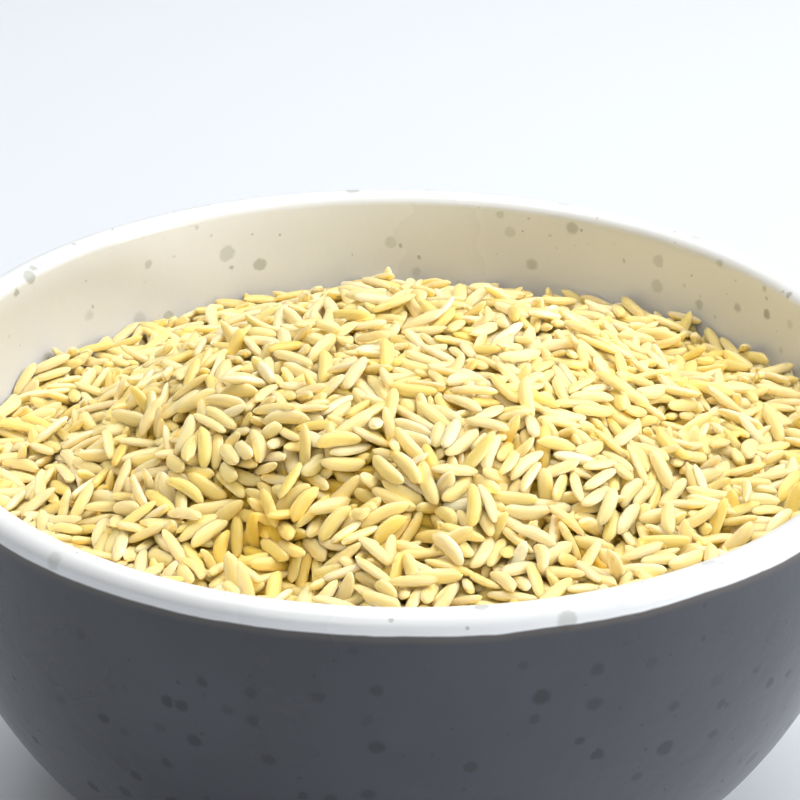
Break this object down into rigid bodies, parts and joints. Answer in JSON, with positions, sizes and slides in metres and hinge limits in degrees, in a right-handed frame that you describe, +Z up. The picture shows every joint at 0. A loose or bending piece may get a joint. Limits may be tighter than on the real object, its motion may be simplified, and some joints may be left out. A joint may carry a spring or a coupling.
{
  "type": "bowl of raw rice",
  "caption": "Round speckled stoneware bowl, slate grey outside and cream white inside, filled with a heap of dry long-grain rice.",
  "frame": {"origin": "centre of the foot, on the surface that the bowl stands on", "axes": "+Z up along the bowl's axis; the picture looks along +Y from the front, with +X to its right"},
  "size_m": [0.132, 0.132, 0.0725],
  "materials": {
    "stoneware_glaze": "satin glaze with dark speckles: slate grey outside, cream white inside and over the lip",
    "rice": "hard, slightly glossy and translucent grains, pale cream to golden"
  },
  "bodies": {
    "root": {"bowl": "stoneware_glaze", "rice_heap": "rice"}
  },
  "joints": []
}
